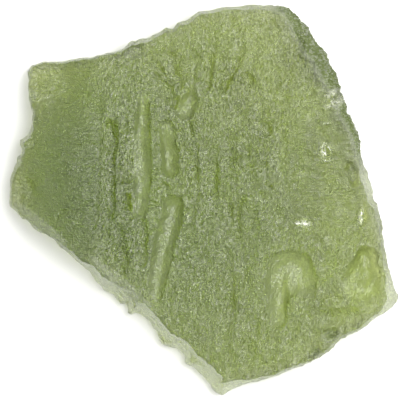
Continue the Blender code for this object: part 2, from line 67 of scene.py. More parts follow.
# The silhouette in millimetres, clockwise from the upper right corner: x, y, how far inside it the rim of
# the sculpted face lies, the height of the widest line as a share of the thickness, how far small chips
# move the edge, and how deep the crumbly texture of the break is.
OUTLINE = (
    # upper right edge, a steep dark facet
    (6.93, 15.59, 0.45, 0.60, 0.06, 0.30),
    (8.30, 14.23, 1.00, 0.70, 0.06, 0.30),
    (9.34, 12.62, 1.15, 0.70, 0.06, 0.30),
    (9.90, 12.06, 1.15, 0.70, 0.06, 0.30),
    (10.86, 9.98, 1.00, 0.70, 0.06, 0.30),
    (11.34, 8.62, 0.75, 0.65, 0.06, 0.30),
    (11.83, 7.10, 0.65, 0.65, 0.06, 0.30),
    (12.39, 6.21, 0.60, 0.65, 0.06, 0.28),
    (12.79, 4.77, 0.45, 0.60, 0.06, 0.28),
    (12.87, 3.33, 0.30, 0.50, 0.06, 0.24),
    # right edge
    (13.35, 2.45, 0.75, 0.25, 0.08, 0.10),
    (13.83, 0.92, 0.75, 0.25, 0.08, 0.10),
    (13.91, 0.12, 0.60, 0.25, 0.08, 0.10),
    (14.15, -0.44, 0.30, 0.45, 0.08, 0.20),
    (14.47, -2.04, 0.22, 0.50, 0.05, 0.20),
    (14.71, -3.73, 0.22, 0.50, 0.05, 0.20),
    (14.95, -5.01, 0.30, 0.45, 0.05, 0.16),
    (15.59, -7.01, 0.80, 0.20, 0.08, 0.03),
    # right corner
    (15.91, -7.49, 1.00, 0.15, 0.08, 0.00),
    (15.83, -7.97, 1.00, 0.15, 0.08, 0.00),
    (15.19, -8.61, 0.60, 0.15, 0.08, 0.00),
    (14.63, -9.10, 0.40, 0.20, 0.08, 0.00),
    # lower right edge, nearly straight
    (14.15, -9.26, 0.30, 0.25, 0.06, 0.06),
    (12.70, -10.38, 0.22, 0.35, 0.06, 0.10),
    (11.42, -10.94, 0.22, 0.35, 0.06, 0.16),
    (10.46, -11.74, 0.22, 0.35, 0.06, 0.16),
    (8.86, -12.86, 0.22, 0.35, 0.06, 0.14),
    (7.25, -13.51, 0.30, 0.25, 0.06, 0.06),
    (5.57, -14.15, 0.30, 0.25, 0.06, 0.06),
    (4.21, -14.47, 0.30, 0.20, 0.06, 0.06),
    (3.01, -14.79, 0.60, 0.15, 0.06, 0.06),
    # bottom corner
    (1.72, -15.59, 1.30, 0.15, 0.08, 0.04),
    (1.24, -15.27, 1.30, 0.15, 0.12, 0.04),
    (0.84, -14.71, 1.20, 0.15, 0.12, 0.04),
    # lower left edge, the flaky break
    (-0.44, -13.43, 1.10, 0.15, 0.14, 0.06),
    (-1.24, -12.95, 1.25, 0.15, 0.14, 0.06),
    (-1.40, -12.23, 0.90, 0.15, 0.14, 0.06),
    (-1.96, -11.75, 1.00, 0.15, 0.14, 0.06),
    (-3.01, -11.51, 1.45, 0.15, 0.14, 0.06),
    (-3.41, -11.11, 1.30, 0.15, 0.14, 0.06),
    (-3.49, -10.39, 0.90, 0.15, 0.14, 0.06),
    (-4.13, -9.67, 0.85, 0.15, 0.14, 0.14),
    (-4.77, -9.03, 0.85, 0.15, 0.14, 0.14),
    (-5.74, -8.95, 1.35, 0.15, 0.14, 0.14),
    (-5.90, -8.30, 1.25, 0.15, 0.14, 0.14),
    (-6.46, -8.06, 1.30, 0.15, 0.14, 0.14),
    (-7.10, -7.42, 0.90, 0.15, 0.14, 0.14),
    (-7.90, -6.94, 0.80, 0.20, 0.14, 0.14),
    (-8.46, -6.38, 0.75, 0.20, 0.14, 0.14),
    (-8.62, -5.90, 0.60, 0.18, 0.14, 0.14),
    (-9.59, -5.09, 0.45, 0.18, 0.10, 0.08),
    (-10.71, -4.05, 0.30, 0.18, 0.10, 0.10),
    (-11.59, -3.17, 0.20, 0.18, 0.10, 0.10),
    (-12.87, -2.45, 0.15, 0.18, 0.10, 0.10),
    (-13.67, -1.72, 0.15, 0.18, 0.10, 0.10),
    (-14.55, -1.08, 0.18, 0.18, 0.10, 0.10),
    # left corner and left edge
    (-15.27, -0.28, 0.25, 0.18, 0.08, 0.10),
    (-15.27, 1.16, 0.25, 0.18, 0.12, 0.10),
    (-15.11, 2.36, 0.25, 0.18, 0.20, 0.14),
    (-14.71, 2.85, 0.30, 0.18, 0.20, 0.14),
    (-14.63, 3.57, 0.30, 0.18, 0.20, 0.14),
    (-14.23, 3.89, 0.25, 0.18, 0.20, 0.14),
    (-14.47, 4.69, 0.35, 0.18, 0.20, 0.14),
    (-13.83, 5.25, 0.35, 0.18, 0.20, 0.14),
    (-13.51, 6.13, 0.25, 0.18, 0.12, 0.10),
    (-13.43, 7.25, 0.20, 0.18, 0.12, 0.10),
    (-13.75, 8.22, 0.20, 0.18, 0.12, 0.10),
    (-13.74, 9.58, 0.20, 0.18, 0.10, 0.10),
    (-13.90, 10.38, 0.25, 0.18, 0.08, 0.10),
    # upper left corner and upper edge
    (-13.50, 10.94, 0.25, 0.18, 0.05, 0.03),
    (-12.46, 11.22, 0.15, 0.50, 0.04, 0.03),
    (-10.70, 11.22, 0.15, 0.50, 0.04, 0.03),
    (-8.78, 11.50, 0.15, 0.50, 0.06, 0.05),
    (-6.13, 12.15, 0.15, 0.50, 0.10, 0.08),
    (-5.65, 12.71, 0.25, 0.40, 0.16, 0.12),
    (-4.13, 13.03, 0.35, 0.35, 0.18, 0.12),
    (-3.09, 13.75, 0.35, 0.35, 0.18, 0.12),
    (-2.12, 13.91, 0.35, 0.35, 0.18, 0.12),
    (-1.80, 14.31, 0.35, 0.35, 0.18, 0.12),
    (-0.76, 14.71, 0.35, 0.35, 0.14, 0.10),
    (-0.28, 15.15, 0.35, 0.35, 0.08, 0.08),
    (2.12, 15.59, 0.30, 0.35, 0.06, 0.06),
    (4.53, 15.63, 0.30, 0.35, 0.06, 0.06),
)

# Grooves of the sculpted face, in millimetres. Each is a path of (x, y, half width, depth), and where two
# meet the deeper one wins, which leaves the sharp crests between them.
GROOVES = {
    "left finger": (
        (-7.20, 5.76, 0.76, 0.50),
        (-7.28, 4.00, 0.74, 0.58),
        (-7.36, 1.60, 0.74, 0.58),
        (-7.44, -0.80, 0.80, 0.47),
        (-7.68, -2.80, 0.80, 0.35),
        (-8.08, -4.96, 0.64, 0.06),
    ),
    "square pit": (
        (-5.20, 6.24, 0.72, 0.22),
        (-5.60, 4.96, 0.96, 0.50),
        (-5.68, 3.36, 1.00, 0.62),
        (-5.68, 2.32, 1.00, 0.62),
    ),
    "square pit, foot": ((-6.24, 2.56, 0.44, 0.60), (-6.24, 1.76, 0.44, 0.60)),
    "smooth finger": (
        (-4.48, 8.32, 0.52, 0.26),
        (-4.56, 6.80, 0.64, 0.50),
        (-4.60, 4.00, 0.66, 0.62),
        (-4.64, 0.80, 0.68, 0.58),
        (-4.80, -0.80, 0.64, 0.47),
    ),
    "basin": ((-5.36, 0.32, 0.88, 0.46), (-5.60, -0.48, 0.96, 0.50), (-6.00, -1.12, 0.72, 0.38)),
    "slit": ((-5.72, 0.48, 0.18, 0.95), (-5.66, -0.56, 0.20, 0.95)),
    "fan": (
        (-6.64, -1.76, 0.48, 0.21),
        (-6.72, -3.36, 0.80, 0.35),
        (-6.48, -4.96, 0.88, 0.35),
        (-6.00, -6.72, 0.64, 0.14),
    ),
    "fan, right": ((-4.64, -1.76, 0.48, 0.22), (-4.88, -3.04, 0.76, 0.35), (-4.72, -4.64, 0.64, 0.22)),
    "short finger": ((-2.64, 5.92, 0.60, 0.29), (-2.56, 4.16, 0.68, 0.56), (-2.44, 2.64, 0.70, 0.64)),
    "bean": ((-0.88, 8.08, 0.60, 0.46), (-1.12, 7.52, 0.72, 0.56), (-1.44, 7.12, 0.64, 0.50)),
    "bean, left end": ((-1.84, 8.00, 0.24, 0.40), (-2.04, 7.44, 0.28, 0.50)),
    "long finger": (
        (-2.24, -0.40, 0.92, 0.65),
        (-2.32, -1.28, 0.92, 0.68),
        (-2.64, -2.56, 0.88, 0.62),
        (-2.96, -3.84, 0.84, 0.56),
        (-3.20, -4.96, 0.84, 0.50),
        (-3.44, -6.56, 0.76, 0.35),
        (-3.68, -8.00, 0.56, 0.08),
    ),
    "horseshoe": ((7.04, -5.44, 1.60, 0.65), (7.12, -5.92, 1.60, 0.62)),
    "horseshoe, left": (
        (6.40, -5.28, 1.00, 0.60),
        (6.24, -6.80, 1.04, 0.71),
        (6.08, -8.24, 0.84, 0.62),
        (6.08, -9.36, 0.72, 0.29),
    ),
    "horseshoe, right": ((8.00, -5.28, 1.04, 0.64), (8.32, -6.40, 1.04, 0.47), (8.48, -7.76, 0.72, 0.08)),
    "corner bowl": (
        (13.20, -4.48, 0.96, 0.65),
        (12.88, -5.60, 1.36, 0.58),
        (12.80, -6.72, 1.60, 0.35),
        (12.64, -7.84, 1.28, 0.05),
    ),
    "upper slant": (
        (3.28, 12.00, 0.36, 0.12),
        (2.72, 11.04, 0.48, 0.28),
        (2.16, 10.16, 0.56, 0.36),
        (1.68, 9.28, 0.56, 0.36),
    ),
    "upper slant, left": (
        (1.12, 12.80, 0.32, 0.10),
        (0.80, 11.60, 0.40, 0.24),
        (0.56, 10.40, 0.40, 0.28),
        (0.48, 9.28, 0.40, 0.26),
    ),
    "disc": ((3.56, 9.84, 0.60, 0.24), (3.76, 9.60, 0.60, 0.26)),
    "scratch": ((-3.20, 10.48, 0.19, 0.21), (-2.56, 9.76, 0.19, 0.21)),
    "scratch, upper edge": ((-3.52, 10.96, 0.14, 0.10), (-2.96, 10.40, 0.14, 0.14)),
    "scratch, lower edge": (
        (-3.60, 10.16, 0.15, 0.14),
        (-2.80, 9.44, 0.16, 0.19),
        (-2.24, 8.96, 0.16, 0.19),
        (-2.08, 8.24, 0.14, 0.06),
    ),
    "ledge, left": ((-1.60, 11.52, 0.16, 0.09), (-1.60, 8.96, 0.18, 0.16)),
    "ledge, right": ((-0.48, 11.36, 0.18, 0.11), (-0.56, 8.80, 0.17, 0.14)),
    "ledge, foot": ((-1.60, 8.76, 0.16, 0.14), (-0.56, 8.80, 0.17, 0.14)),
    "side line": ((-0.88, 6.32, 0.15, 0.19), (-0.72, 5.36, 0.18, 0.19), (-0.40, 4.48, 0.15, 0.06)),
    "curl": (
        (-3.84, 0.56, 0.20, 0.14),
        (-3.52, 1.12, 0.21, 0.19),
        (-2.96, 1.28, 0.21, 0.19),
        (-2.40, 1.04, 0.21, 0.16),
        (-1.84, 1.44, 0.20, 0.10),
    ),
    "small curl": (
        (-4.48, -0.48, 0.18, 0.14),
        (-3.92, 0.00, 0.18, 0.19),
        (-3.44, -0.24, 0.18, 0.19),
        (-3.12, 0.24, 0.17, 0.12),
    ),
    "rim notch": ((-5.84, 11.52, 0.32, 0.30), (-5.36, 11.84, 0.48, 0.50), (-4.88, 11.92, 0.48, 0.50)),
    "lobe": ((7.60, 13.28, 0.52, 0.21), (7.76, 12.48, 0.72, 0.42), (7.60, 12.00, 0.68, 0.42)),
    "right dimple": ((4.64, 6.00, 0.56, 0.21), (5.20, 5.68, 0.64, 0.29)),
    "right dimple, foot": ((4.64, 5.28, 0.17, 0.12), (5.60, 5.28, 0.17, 0.15)),
    "dark notch": ((11.92, 2.80, 0.40, 0.60), (12.24, 2.16, 0.48, 0.71), (12.24, 1.60, 0.44, 0.60)),
    "middle flute": ((-0.64, 4.32, 0.52, 0.08), (-0.56, 2.40, 0.60, 0.28), (-0.48, 0.24, 0.56, 0.14)),
    "second flute": ((0.88, 4.00, 0.44, 0.06), (0.96, 2.00, 0.52, 0.24), (1.04, -0.16, 0.48, 0.10)),
    "third flute": ((2.08, 0.32, 0.44, 0.05), (2.16, -0.96, 0.52, 0.21), (2.24, -2.24, 0.48, 0.08)),
    "dark flute": (
        (3.36, 0.24, 0.18, 0.10),
        (3.04, -0.80, 0.25, 0.16),
        (2.96, -1.92, 0.28, 0.16),
        (3.12, -3.36, 0.23, 0.07),
    ),
    "lower flute": ((2.40, -6.00, 0.48, 0.05), (2.24, -8.40, 0.60, 0.21), (1.92, -11.60, 0.52, 0.08)),
    "lower flute, right": (
        (4.40, -9.60, 0.48, 0.06),
        (3.92, -11.84, 0.60, 0.22),
        (3.60, -13.44, 0.48, 0.08),
    ),
    "upper flute": ((6.64, 8.56, 0.56, 0.05), (6.32, 4.16, 0.64, 0.14), (6.64, 0.64, 0.56, 0.05)),
    "upper valley": ((-2.24, 11.36, 0.56, 0.21), (-1.92, 9.76, 0.56, 0.24)),
    "rim step": ((8.72, -9.20, 0.80, 0.22), (10.32, -9.28, 0.88, 0.28), (12.16, -9.20, 0.72, 0.21)),
    "upper ledge": ((7.20, 11.20, 0.20, 0.10), (8.00, 11.28, 0.23, 0.15), (8.96, 10.96, 0.20, 0.09)),
    "long line": (
        (7.12, 11.04, 0.20, 0.06),
        (7.04, 9.92, 0.22, 0.10),
        (6.80, 8.80, 0.22, 0.09),
        (6.16, 7.52, 0.20, 0.03),
    ),
    "rim pit": ((10.24, -10.64, 0.40, 0.45), (10.64, -10.48, 0.40, 0.55)),
    "small rim pit": ((8.96, -12.08, 0.28, 0.36), (9.28, -11.84, 0.28, 0.40)),
    "dash, upper": ((2.08, 3.36, 0.20, 0.04), (2.64, 3.36, 0.23, 0.12), (3.76, 3.92, 0.22, 0.11)),
    "dash, lower": ((4.16, 2.64, 0.20, 0.06), (5.28, 2.88, 0.23, 0.15)),
    "dash, left": ((4.96, 0.24, 0.20, 0.06), (5.60, 1.12, 0.20, 0.10)),
    "corner fold": ((11.60, -5.20, 0.20, 0.07), (12.48, -4.80, 0.23, 0.16)),
    "left crescent": (
        (-11.68, -2.00, 0.20, 0.05),
        (-11.36, -1.12, 0.23, 0.12),
        (-10.56, -0.64, 0.23, 0.12),
        (-9.28, -0.72, 0.20, 0.04),
    ),
    "left scratch": ((-10.76, 6.08, 0.15, 0.10), (-10.48, 5.12, 0.15, 0.10)),
    "left curve": ((-10.08, 4.72, 0.18, 0.07), (-9.60, 4.56, 0.20, 0.12), (-9.04, 4.88, 0.18, 0.07)),
    "left pit": ((-13.60, 1.60, 0.28, 0.24), (-13.36, 1.04, 0.32, 0.29)),
    "upper left hollow": ((-8.64, 8.56, 0.64, 0.05), (-8.32, 7.20, 0.80, 0.23), (-8.56, 6.08, 0.56, 0.06)),
    "bright chip": ((10.48, 8.08, 0.56, 0.34), (11.04, 8.64, 0.48, 0.44)),
    "chip on the face": ((9.84, 4.00, 0.36, 0.20), (10.00, 3.68, 0.36, 0.20)),
    "flat chip": ((7.92, -1.68, 0.32, 0.12), (8.56, -1.68, 0.32, 0.12)),
    "edge chip": ((12.88, -0.80, 0.36, 0.30), (12.88, -1.68, 0.36, 0.30)),
}
# How far to the right of its middle a groove is deepest, as a share of its half width
LEANS = {
    "left finger": 0.15,
    "square pit": 0.55,
    "smooth finger": -0.45,
    "fan": -0.40,
    "fan, right": 0.45,
    "short finger": -0.40,
    "horseshoe": 0.15,
    "horseshoe, left": 0.35,
    "horseshoe, right": -0.20,
    "corner bowl": 0.10,
    "upper slant": 0.45,
    "upper slant, left": 0.40,
    "middle flute": 0.50,
    "second flute": 0.40,
    "third flute": 0.40,
    "lobe": 0.40,
    "right dimple": 0.20,
    "bean": -0.10,
    "long finger": 0.15,
}

# Grooves of the underside, laid out as on the sculpted face and clear of the flat spot
UNDERSIDE_GROOVES = {
    "left trough": ((-9.5, 7.5, 1.1, 0.10), (-9.8, 3.0, 1.3, 0.45), (-9.2, -1.5, 1.0, 0.25)),
    "left trough, inner": ((-7.4, 6.0, 0.7, 0.10), (-7.2, 2.0, 0.8, 0.35), (-7.0, -0.5, 0.6, 0.10)),
    "upper trough": ((-2.0, 11.5, 0.8, 0.20), (-2.6, 7.6, 1.0, 0.40)),
    "upper trough, inner": ((-0.2, 10.2, 0.6, 0.15), (-0.6, 6.4, 0.7, 0.30)),
    "upper bowl": ((3.2, 11.0, 1.2, 0.35), (3.6, 8.6, 1.3, 0.42)),
    "upper bowl, tail": ((3.9, 8.2, 0.9, 0.35), (4.6, 5.4, 0.6, 0.08)),
    "right trough": ((9.6, 5.5, 1.0, 0.30), (10.2, 0.5, 1.2, 0.45), (9.8, -4.0, 0.9, 0.15)),
    "right trough, inner": ((7.6, 3.8, 0.7, 0.12), (8.0, -1.2, 0.8, 0.35), (7.8, -3.4, 0.6, 0.08)),
    "lower bowl": ((3.0, -9.2, 1.3, 0.40), (3.6, -11.4, 1.0, 0.20)),
    "lower trough": ((-0.4, -7.4, 0.7, 0.10), (0.6, -11.0, 0.8, 0.32)),
    "corner trough": ((9.0, -8.0, 0.9, 0.35), (11.8, -7.6, 1.0, 0.30)),
}
SHEER_SHARE = 0.28  # share of a groove's depth that its sheer wall takes, before the open bowl inside it
SHEER_POWER = 0.30  # how sheer that wall is, where less is sheerer
BOWL_POWER = 1.00  # and how open the bowl is
WANDERING = ((1.6, 0.16), (0.55, 0.08))  # size and reach of the unevenness of the grooves' edges
NOISE_SEED = 4  # without a seed, the unevenness would differ from run to run

# Where the shard is thicker or thinner than the even wedge: x, y, half width, half length, rise
THICK_PLACES = (
    (-9.5, 1.5, 4.5, 8.0, 1.50),
    (-14.6, 0.8, 2.2, 3.0, -1.90),
    (-13.4, 9.6, 3.4, 3.6, -1.70),
    (7.0, 13.0, 4.0, 4.0, -0.50),
)
FALL_TO_RIGHT = 0.036  # how much thinner the shard gets for each millimetre to the right
FALL_UPWARD = 0.022  # and for each millimetre towards its upper edge
DOME = (-4.0, 0.0010)  # line along which the sculpted face is highest, and how fast it curves away from it
FLAT_SPOT = (5.2, 4.2)  # half width and half depth of the spot that it rests on
FLAT_SPOT_CENTRE = (0.3, 0.0)
FLAT_WITHIN = 0.02  # anything this close to the resting plane lies on it
UNDERSIDE_RISE = 0.25  # how far the underside has risen at the rim
UNDER_BEVEL = 0.25  # how far the rim of the underside lies inside the silhouette
SHOULDER = 0.50  # how far in a broken edge has come halfway up, as a share of its whole way in
LEDGE_FLARE = 0.28  # how much farther in it has come there on the low, wide ledges
LOW = (0.15, 0.30)  # an edge whose widest line is this low is a ledge
CHIPPING = ((1.5, 3.0, 0.6), (3.4, 8.0, 1.0))  # chips to a millimetre, seed and strength of the rim's chips
SWELLS = (5.5, 0.22)  # size and height of the broad swells

# Scallops that the etching left: cell width, cell length and depth, from the broadest to the finest
FLUTES = (0.60, 3.0, 0.12)
PATCHES = (1.6, 2.1, 0.16)
HOLLOWS = (0.80, 1.05, 0.14)
PITTING = (0.27, 0.36, 0.07)
WORN_LEVEL = 0.3  # height of a flake scar or crumb that leaves the edge where it was
STEEP = (0.55, 0.85)  # upward parts of the normals between which a face turns from a broken edge to flat

# Places along X where the plain left end fades out, and places along X and Y where the streaked strips in the
# middle and at the bottom fade in or out
PLAIN_LEFT = (-9.0, -7.6)
STREAKED_FROM = (-1.6, -0.4)
STREAKED_TO = (2.4, 4.4)
STREAKED_BELOW = (-11.5, -9.0)
PLAINNESS = 0.6  # how much shallower the scallops are on the plain left end

# Ends of the fade of the level ripples: along X at the left end, along X on both sides of the short finger,
# and along X, Y and Y again around the place on the right
LEVEL_LEFT = (-8.6, -7.4)
LEVEL_STRIP = ((-4.4, -3.9), (-3.5, -3.0))
LEVEL_RIGHT = ((6.0, 8.0), (-3.0, -1.0), (7.0, 9.0))

# Grooves whose walls are smooth
POLISHED = (
    "smooth finger",
    "short finger",
    "bean",
    "long finger",
    "horseshoe",
    "horseshoe, left",
    "horseshoe, right",
    "corner bowl",
)

# Places given a bloom of milkiness, partly etched and partly a painted highlight: x, y, half width, half
# length, strength
MILKY_AND_HIGHLIGHT_PLACES = (
    (-5.70, 4.20, 0.85, 3.00, 1.00),
    (-12.00, 9.40, 1.80, 2.20, 0.90),
    (-14.30, 0.60, 1.10, 2.10, 0.90),
    (-13.80, 5.00, 0.70, 0.90, 1.00),
    (-0.60, 2.60, 0.35, 2.10, 0.60),
    (0.85, 2.60, 0.30, 2.20, 0.50),
    (2.00, 0.00, 0.30, 2.60, 0.50),
    (5.80, -6.90, 0.35, 1.50, 0.70),
    (-2.90, -3.00, 0.40, 2.60, 0.70),
)

HIGHLIGHT_FACES = (0.92, 0.38)  # painted highlight: the bloom is thickest on the faces of the relief that look this way, towards the key light
HIGHLIGHT_SLOPES = (-0.55, 0.50)  # how far they have to look that way for none of it and for all of it
LEFT_BLOOM_AND_HIGHLIGHT = 0.30  # how thick it lies at least on the plain left end
LEFT_HIGHLIGHT_THINNING = 0.45  # how much thinner it is there than on the rest of the face
SMOOTH_BLOOM_AND_HIGHLIGHT = 0.37  # how thick it lies in the grooves with smooth walls
CORNER_BLOOM_AND_HIGHLIGHT = 0.10  # and in the smooth bowl of the right corner
CORNER = (9.0, 11.0)  # where that corner begins along X
SMOOTH_DEPTHS = (0.06, 0.20)  # a smooth groove is smooth from this depth down
FACING_UP = 0.3  # the upward part of a normal that makes it the sculpted face's
ABOVE = 1.0  # places this high are on the sculpted face or its edges, and not on the underside

# Bounds between which an edge turns dark and crumbly, by how crumbly its break is, and where the dark colour,
# a painted shade, ends inside the rim
CRUMBLY = (0.50, 0.85)
DARK_REACH = (-0.2, 0.5)
# The same for the frosting of the broken edges, partly a painted glow of light passing through the thin
# ledges:
# reach inside the rim, steepness, height of the widest line, width of the ledge
FROST_AND_GLOW_REACH = (0.1, 0.5)
FROST_AND_GLOW_STEEPNESS = (0.45, 0.80)
GLOWING_LEDGE_HEIGHT = (0.20, 0.35)
GLOWING_LEDGE_WIDTH = (0.25, 0.45)
LEAST_FROST = 0.2  # how frosted the other broken edges are

# Crumbly pits and stretches of edge, painted dark as painted shade: x, y, half length, half width, turn and
# strength
CRUMBLED_AND_SHADED_PLACES = (
    (10.50, -10.70, 0.80, 0.50, 0.40, 0.90),
    (9.15, -12.00, 0.45, 0.35, 0.40, 0.90),
    (12.20, 2.35, 0.80, 0.38, 1.45, 0.70),
    (-5.20, 11.80, 0.90, 0.50, 0.30, 0.60),
    (-13.60, 10.30, 0.55, 0.22, 1.50, 0.80),
    (-13.35, 8.35, 0.40, 0.26, 1.00, 0.80),
    (-13.45, 6.80, 0.45, 0.20, 1.50, 0.80),
    (-12.60, -1.90, 2.60, 0.45, -0.70, 0.55),
    (-6.20, -6.60, 3.40, 0.50, -0.71, 0.40),
)

# Places chipped not long ago, which are still smooth, and the white bruises in them, whose white is partly a
# painted glint of the chips: x, y, half length, half width and turn from X in radians
FRESH_CHIPS = (
    (10.70, 8.20, 1.00, 0.75, 0.60),
    (10.00, 3.90, 0.80, 0.50, 1.50),
    (8.25, -1.68, 0.80, 0.40, 0.0),
    (12.90, -1.20, 0.75, 0.45, 1.50),
)
BRUISES_AND_GLINTS = (
    (10.50, 8.70, 0.62, 0.30, 0.80),
    (10.70, 7.80, 0.85, 0.27, 0.35),
    (9.84, 3.96, 0.55, 0.22, 1.75),
    (8.22, -1.70, 0.68, 0.26, 0.0),
    (12.86, -1.15, 0.75, 0.22, 1.45),
)


class ShardSettings(PropertyGroup):
    thickness: FloatProperty(
        name="Thickness",
        description="From the resting plane to the middle of the sculpted face, in millimetres",
        default=3.95,
        min=1.0,
    )
    grid: FloatProperty(
        name="Grid",
        description="Spacing of the points of the etched surface, in millimetres",
        default=0.125,
        min=0.1,
    )
    rim_step: FloatProperty(
        name="Rim step",
        description="Spacing of the points along the broken rim, in millimetres",
        default=0.20,
        min=0.1,
    )
    flake_size: FloatProperty(
        name="Flake size",
        description="Size of the flake scars on the broken edges, in millimetres",
        default=1.5,
        min=0.2,
    )
    flake_depth: FloatProperty(
        name="Flake depth",
        description="Depth of the flake scars on the broken edges, in millimetres",
        default=0.22,
        min=0.0,
    )
    crumb_size: FloatProperty(
        name="Crumb size",
        description="Size of the crumbly texture of the broken edges, in millimetres",
        default=0.45,
        min=0.1,
    )
    most_triangles: IntProperty(
        name="Most triangles",
        description="The finished mesh is thinned to stay under this",
        default=196000,
        min=1000,
    )


class GlassSettings(PropertyGroup):
    absorbed: FloatVectorProperty(
        name="Absorbed",
        description="How fast the glass takes up red, green and blue light, for each metre of depth",
        default=(184.0, 147.0, 475.0),
        min=0.0,
    )
    roughness: FloatProperty(
        name="Roughness",
        description="Softness of the etched surface's gloss",
        default=0.28,
        min=0.0,
        max=1.0,
        subtype="FACTOR",
    )
    frosted_roughness: FloatProperty(
        name="Roughness of the frosted breaks",
        description="Softness of the gloss on the pale, thin broken edges",
        default=0.60,
        min=0.0,
        max=1.0,
        subtype="FACTOR",
    )
    # Partly a painted glow: less light passes the thin ledges, which turn pale as if lit through from the far
    # side
    frosted_glow_clearness: FloatProperty(
        name="Clearness of the frosted breaks",
        description="Share of the light that passes through the pale, thin broken edges",
        default=0.66,
        min=0.0,
        max=1.0,
        subtype="FACTOR",
    )
    glass_colour: StringProperty(
        name="Glass colour",
        description="Faint tint of the etched skin, as a hex value",
        default="#F8FBE8",
    )
    # Partly a painted glow: this pale tint of the thin ledges stands in for light passing through the shard
    # and out of them
    frosted_glow_colour: StringProperty(
        name="Frosted colour",
        description="Tint of the pale, thin broken edges, as a hex value",
        default="#EEF3DD",
    )
    # Painted shade: this dark tint stands in for the shade of the steep, crumbly edge and its pits
    crumbled_shade_colour: StringProperty(
        name="Crumbled colour",
        description="Tint of the dark, crumbled edge, as a hex value",
        default="#43501E",
    )
    crumbled_highlight: StringProperty(
        name="Crumbled highlight",
        description="Tint of the lighter grains of the dark, crumbled edge, as a hex value",
        default="#93A653",
    )
    # Partly a painted highlight: the milky sides are the faces that look towards the key light
    milky_and_highlight_clearness: FloatProperty(
        name="Clearness of the milky bloom",
        description="Share of the light that passes through the milky sides of the relief",
        default=0.845,
        min=0.0,
        max=1.0,
        subtype="FACTOR",
    )
    # Painted shade: less light passes there, so that the crumbly edge and its pits stay dark
    crumbled_shade_clearness: FloatProperty(
        name="Clearness of the crumbled edge",
        description="Share of the light that passes through the dark, crumbled edge",
        default=0.55,
        min=0.0,
        max=1.0,
        subtype="FACTOR",
    )
    ior: FloatProperty(
        name="IOR",
        description="How strongly the glass bends light",
        default=1.49,
        min=1.0,
    )


class StageSettings(PropertyGroup):
    floor: StringProperty(
        name="Floor",
        description="Colour of the floor, as a hex value",
        default="#FAFAF8",
    )
    key_strength: FloatProperty(
        name="Key light",
        description="Power of the softbox on the right",
        default=2.5,
        min=0.0,
        unit="POWER",
    )
    sky_strength: FloatProperty(
        name="Sky",
        description="Strength of the even light from all round",
        default=0.98,
        min=0.0,
    )
    view_width: FloatProperty(
        name="View width",
        description="Width of the camera's view across the shard",
        default=0.0317,
        min=0.001,
        unit="LENGTH",
    )
    camera_height: FloatProperty(
        name="Camera height",
        description="Height of the camera above the floor",
        default=0.45,
        min=0.05,
        unit="LENGTH",
    )


def linear(hex_colour):
    """An sRGB hex value such as #7F8A4E as linear red, green, blue and 1."""
    values = [int(hex_colour[i : i + 2], 16) / 255 for i in (1, 3, 5)]
    return [v / 12.92 if v <= 0.04045 else ((v + 0.055) / 1.055) ** 2.4 for v in values] + [1.0]


def smooth_step(low, high, value):
    share = np.clip((value - low) / (high - low), 0.0, 1.0)
    return share * share * (3.0 - 2.0 * share)


def start_afresh():
    if bpy.context.object and bpy.context.object.mode != "OBJECT":
        bpy.ops.object.mode_set(mode="OBJECT")
    bpy.ops.object.select_all(action="DESELECT")


def places_of(obj, what="co"):
    found = np.empty(len(obj.data.vertices) * 3)
    obj.data.vertices.foreach_get(what, found)
    return found.reshape(-1, 3)


def move_to(obj, places):
    obj.data.vertices.foreach_set("co", places.ravel())
    obj.data.update()


def rim_points(sizes):
    """The outline cut into short steps, with each step's inward direction."""
    corners = np.array(OUTLINE)
    steps = []
    for here, there in zip(corners, np.roll(corners, -1, axis=0)):
        count = max(1, round(math.hypot(*(there - here)[:2]) / sizes.rim_step))
        steps += [here + (there - here) * i / count for i in range(count)]
    steps = np.array(steps)
    tangent = np.roll(steps, -2, axis=0)[:, :2] - np.roll(steps, 2, axis=0)[:, :2]
    tangent /= np.linalg.norm(tangent, axis=1)[:, None]
    inward = np.column_stack([tangent[:, 1], -tangent[:, 0]])
    chips = [
        sum(strength * noise.noise(Vector((many * x, many * y, seed))) for many, seed, strength in CHIPPING)
        for x, y in steps[:, :2]
    ]
    steps[:, :2] += inward * (steps[:, 4] * np.array(chips))[:, None]
    return steps, inward


def nearest_steps(steps, places):
    """Which step of the outline each place is closest to, seen from above, and how far away it is."""
    tree = kdtree.KDTree(len(steps))
    for number, step in enumerate(steps):
        tree.insert((step[0], step[1], 0.0), number)
    tree.balance()
    found = [tree.find((place[0], place[1], 0.0))[1:] for place in places]
    return np.array([number for number, _ in found]), np.array([away for _, away in found])


